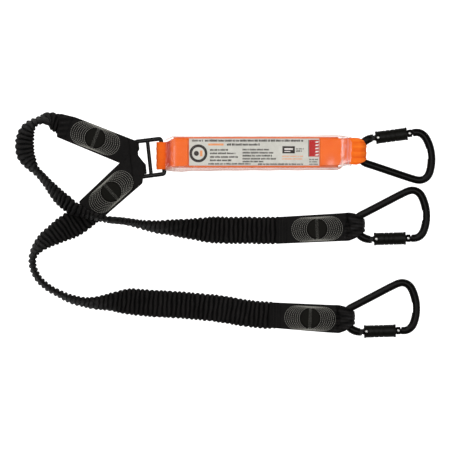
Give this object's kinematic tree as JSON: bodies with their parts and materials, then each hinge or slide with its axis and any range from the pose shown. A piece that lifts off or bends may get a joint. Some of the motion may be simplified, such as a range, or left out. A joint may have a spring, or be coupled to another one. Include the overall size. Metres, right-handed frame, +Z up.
{
  "type": "shock absorbing lanyard",
  "caption": "Twin-leg elasticated fall-arrest lanyard with a tear-webbing energy absorber pack, a connector bracket and self-locking karabiners at its free ends, laid out flat.",
  "frame": {"origin": "centre of the bounding box in plan, on the plane the lanyard lies on", "axes": "+X along the absorber pack towards the karabiners, +Y across towards the absorber's side, +Z up from the resting surface"},
  "size_m": [0.6069, 0.3254, 0.057],
  "materials": {
    "anodised": "satin anodised",
    "sleeve_anodised": "satin anodised",
    "rivet_steel": "bright",
    "spring_steel": "drawn wire",
    "bracket_steel": "black coated",
    "leg_webbing": "woven",
    "leg_elastic": "ruched woven tube",
    "elastic_core": "matt",
    "thread": "sewing thread",
    "absorber_webbing": "woven",
    "clear_film": "clear shrink film",
    "label_film": "printed film"
  },
  "bodies": {
    "absorber": {"tear_webbing": "absorber_webbing", "harness_loop": "absorber_webbing", "bracket_loop": "absorber_webbing", "clear_cover": "clear_film", "label": "label_film"},
    "bracket": {"connector_bracket": "bracket_steel"},
    "leg_a_root": {"leg_a_bracket_tab": "leg_webbing", "leg_a_bracket_stitching": "thread", "leg_a_sleeve_bend": "leg_elastic", "leg_a_core_bend": "elastic_core"},
    "leg_a_mid": {"leg_a_sleeve_run": "leg_elastic", "leg_a_core_run": "elastic_core"},
    "leg_a_end": {"leg_a_sleeve_end": "leg_elastic", "leg_a_core_end": "elastic_core", "leg_a_end_tab": "leg_webbing", "leg_a_end_stitching": "thread"},
    "leg_b_root": {"leg_b_bracket_tab": "leg_webbing", "leg_b_bracket_stitching": "thread", "leg_b_sleeve_bend": "leg_elastic", "leg_b_core_bend": "elastic_core"},
    "leg_b_mid": {"leg_b_sleeve_run": "leg_elastic", "leg_b_core_run": "elastic_core"},
    "leg_b_end": {"leg_b_sleeve_end": "leg_elastic", "leg_b_core_end": "elastic_core", "leg_b_end_tab": "leg_webbing", "leg_b_end_stitching": "thread"},
    "harness_karabiner": {"harness_karabiner_body": "anodised", "harness_karabiner_hinge_pin": "rivet_steel"},
    "harness_gate": {"harness_karabiner_gate": "anodised", "harness_karabiner_latch_pin": "rivet_steel", "harness_karabiner_gate_spring": "spring_steel", "harness_karabiner_sleeve_spring": "spring_steel"},
    "harness_collar": {"harness_karabiner_sleeve_collar": "spring_steel"},
    "harness_sleeve": {"harness_karabiner_lock_sleeve": "sleeve_anodised"},
    "harness_plunger": {"harness_karabiner_gate_plunger": "spring_steel"},
    "leg_a_karabiner": {"leg_a_karabiner_body": "anodised", "leg_a_karabiner_hinge_pin": "rivet_steel"},
    "leg_a_gate": {"leg_a_karabiner_gate": "anodised", "leg_a_karabiner_latch_pin": "rivet_steel", "leg_a_karabiner_gate_spring": "spring_steel", "leg_a_karabiner_sleeve_spring": "spring_steel"},
    "leg_a_collar": {"leg_a_karabiner_sleeve_collar": "spring_steel"},
    "leg_a_sleeve": {"leg_a_karabiner_lock_sleeve": "sleeve_anodised"},
    "leg_a_plunger": {"leg_a_karabiner_gate_plunger": "spring_steel"},
    "leg_b_karabiner": {"leg_b_karabiner_body": "anodised", "leg_b_karabiner_hinge_pin": "rivet_steel"},
    "leg_b_gate": {"leg_b_karabiner_gate": "anodised", "leg_b_karabiner_latch_pin": "rivet_steel", "leg_b_karabiner_gate_spring": "spring_steel", "leg_b_karabiner_sleeve_spring": "spring_steel"},
    "leg_b_collar": {"leg_b_karabiner_sleeve_collar": "spring_steel"},
    "leg_b_sleeve": {"leg_b_karabiner_lock_sleeve": "sleeve_anodised"},
    "leg_b_plunger": {"leg_b_karabiner_gate_plunger": "spring_steel"}
  },
  "joints": [
    {"name": "bracket_swing", "type": "hinge", "parent": "absorber", "child": "bracket", "pos_m": [-0.0909, 0.0992, 0.0121], "axis": [-0.1073, 0.9942, 0], "range_deg": [-40, 40]},
    {"name": "leg_a_tab_swing", "type": "hinge", "parent": "bracket", "child": "leg_a_root", "pos_m": [-0.1286, 0.09441, 0.0121], "axis": [-0.1067, 0.9943, 0], "range_deg": [0, 28]},
    {"name": "leg_a_stretch", "type": "slide", "parent": "leg_a_root", "child": "leg_a_mid", "axis": [1, 0, 0], "range_m": [0, 0.24], "stiffness_N_per_m": 60, "deforming": ["leg_a_sleeve_run", "leg_a_core_run"]},
    {"name": "leg_a_flex", "type": "hinge", "parent": "leg_a_mid", "child": "leg_a_end", "pos_m": [0.04612, -0.00854, 0.0121], "axis": [0, 1, 0], "range_deg": [-45, 45], "stiffness_Nm_per_rad": 0.2},
    {"name": "leg_b_tab_swing", "type": "hinge", "parent": "bracket", "child": "leg_b_root", "pos_m": [-0.1286, 0.09441, 0.0121], "axis": [-0.1067, 0.9943, 0], "range_deg": [-28, 0]},
    {"name": "leg_b_stretch", "type": "slide", "parent": "leg_b_root", "child": "leg_b_mid", "axis": [0.9976, -0.069, 0], "range_m": [0, 0.24], "stiffness_N_per_m": 60, "deforming": ["leg_b_sleeve_run", "leg_b_core_run"]},
    {"name": "leg_b_flex", "type": "hinge", "parent": "leg_b_mid", "child": "leg_b_end", "pos_m": [0.03742, -0.12954, 0.0121], "axis": [0, 1, 0], "range_deg": [-45, 45], "stiffness_Nm_per_rad": 0.2},
    {"name": "harness_karabiner_swing", "type": "hinge", "parent": "absorber", "child": "harness_karabiner", "pos_m": [0.19297, 0.09973, 0.0121], "axis": [0.1305, -0.9914, 0], "range_deg": [-40, 40]},
    {"name": "harness_gate_open", "type": "hinge", "parent": "harness_karabiner", "child": "harness_gate", "pos_m": [0.22157, 0.12631, 0.0121], "axis": [0, 0, -1], "range_deg": [0, 22], "stiffness_Nm_per_rad": 0.3},
    {"name": "harness_sleeve_pull", "type": "slide", "parent": "harness_gate", "child": "harness_collar", "axis": [-0.9914, -0.1305, 0], "range_m": [0, 0.0022], "stiffness_N_per_m": 700, "deforming": ["harness_karabiner_sleeve_spring"]},
    {"name": "harness_sleeve_twist", "type": "hinge", "parent": "harness_collar", "child": "harness_sleeve", "pos_m": [0.22157, 0.12631, 0.0121], "axis": [0.9914, 0.1305, 0], "range_deg": [0, 90], "stiffness_Nm_per_rad": 0.03},
    {"name": "harness_plunger_push", "type": "slide", "parent": "harness_gate", "child": "harness_plunger", "axis": [0.9914, 0.1305, 0], "range_m": [0, 0.0008], "deforming": ["harness_karabiner_gate_spring"]},
    {"name": "leg_a_karabiner_swing", "type": "hinge", "parent": "leg_a_end", "child": "leg_a_karabiner", "pos_m": [0.18673, 0.00095, 0.0121], "axis": [-0.0251, 0.9997, 0], "range_deg": [-40, 40]},
    {"name": "leg_a_gate_open", "type": "hinge", "parent": "leg_a_karabiner", "child": "leg_a_gate", "pos_m": [0.21911, -0.02087, 0.0121], "axis": [0, 0, 1], "range_deg": [0, 22], "stiffness_Nm_per_rad": 0.3},
    {"name": "leg_a_sleeve_pull", "type": "slide", "parent": "leg_a_gate", "child": "leg_a_collar", "axis": [-0.9997, -0.0251, 0], "range_m": [0, 0.0022], "stiffness_N_per_m": 700, "deforming": ["leg_a_karabiner_sleeve_spring"]},
    {"name": "leg_a_sleeve_twist", "type": "hinge", "parent": "leg_a_collar", "child": "leg_a_sleeve", "pos_m": [0.21911, -0.02087, 0.0121], "axis": [0.9997, 0.0251, 0], "range_deg": [0, 90], "stiffness_Nm_per_rad": 0.03},
    {"name": "leg_a_plunger_push", "type": "slide", "parent": "leg_a_gate", "child": "leg_a_plunger", "axis": [0.9997, 0.0251, 0], "range_m": [0, 0.0008], "deforming": ["leg_a_karabiner_gate_spring"]},
    {"name": "leg_b_karabiner_swing", "type": "hinge", "parent": "leg_b_end", "child": "leg_b_karabiner", "pos_m": [0.17216, -0.13327, 0.0121], "axis": [-0.0281, 0.9996, 0], "range_deg": [-40, 40]},
    {"name": "leg_b_gate_open", "type": "hinge", "parent": "leg_b_karabiner", "child": "leg_b_gate", "pos_m": [0.20461, -0.15499, 0.0121], "axis": [0, 0, 1], "range_deg": [0, 22], "stiffness_Nm_per_rad": 0.3},
    {"name": "leg_b_sleeve_pull", "type": "slide", "parent": "leg_b_gate", "child": "leg_b_collar", "axis": [-0.9996, -0.0281, 0], "range_m": [0, 0.0022], "stiffness_N_per_m": 700, "deforming": ["leg_b_karabiner_sleeve_spring"]},
    {"name": "leg_b_sleeve_twist", "type": "hinge", "parent": "leg_b_collar", "child": "leg_b_sleeve", "pos_m": [0.20461, -0.15499, 0.0121], "axis": [0.9996, 0.0281, 0], "range_deg": [0, 90], "stiffness_Nm_per_rad": 0.03},
    {"name": "leg_b_plunger_push", "type": "slide", "parent": "leg_b_gate", "child": "leg_b_plunger", "axis": [0.9996, 0.0281, 0], "range_m": [0, 0.0008], "deforming": ["leg_b_karabiner_gate_spring"]}
  ],
  "couplings": [
    {"joint": "harness_plunger_push", "follows": "harness_gate_open", "m_per_rad": 0.0018},
    {"joint": "leg_a_plunger_push", "follows": "leg_a_gate_open", "m_per_rad": 0.0018},
    {"joint": "leg_b_plunger_push", "follows": "leg_b_gate_open", "m_per_rad": 0.0018}
  ]
}
